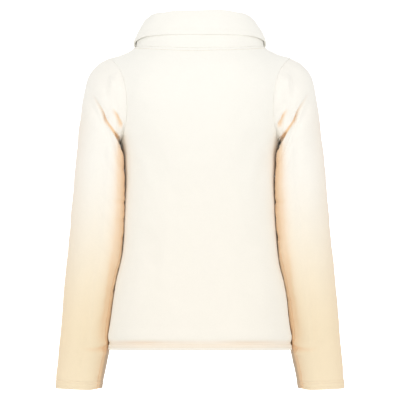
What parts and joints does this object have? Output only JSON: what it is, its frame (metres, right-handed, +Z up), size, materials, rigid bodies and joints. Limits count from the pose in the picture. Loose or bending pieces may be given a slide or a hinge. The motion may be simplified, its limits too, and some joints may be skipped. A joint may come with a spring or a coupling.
{
  "type": "fleece jacket",
  "caption": "Fitted zip-front fleece jacket with a turned-down stand collar and long set-in sleeves, filled out as worn with no wearer.",
  "frame": {"origin": "on the centre plane inside the neck, level with the shoulder line, where the wearer's shoulders hold the jacket up", "axes": "+Z up, -Y out of the front where the zip is, +Y out of the back, +X towards the wearer's left"},
  "size_m": [0.5536, 0.2387, 0.7186],
  "materials": {
    "cream_fleece": "brushed fleece with a short dense nap, matte",
    "zip_tape_cloth": "woven zip tape, matte",
    "zip_teeth": "moulded teeth, satin",
    "zip_metal": "pale nickel, satin"
  },
  "bodies": {
    "jacket": {"back": "cream_fleece", "front_left": "cream_fleece", "front_right": "cream_fleece", "sleeve_left": "cream_fleece", "sleeve_right": "cream_fleece", "collar": "cream_fleece", "zip_tape_left": "zip_tape_cloth", "zip_tape_right": "zip_tape_cloth", "zip_chain": "zip_teeth", "zip_box": "zip_metal", "zip_stop_left": "zip_metal", "zip_stop_right": "zip_metal", "zip_slider": "zip_metal"},
    "pull": {"zip_pull": "zip_metal"}
  },
  "joints": [
    {"name": "pull_hinge", "type": "hinge", "parent": "jacket", "child": "pull", "pos_m": [0, -0.11055, -0.09826], "axis": [-1, 0, 0], "range_deg": [0, 150]}
  ]
}
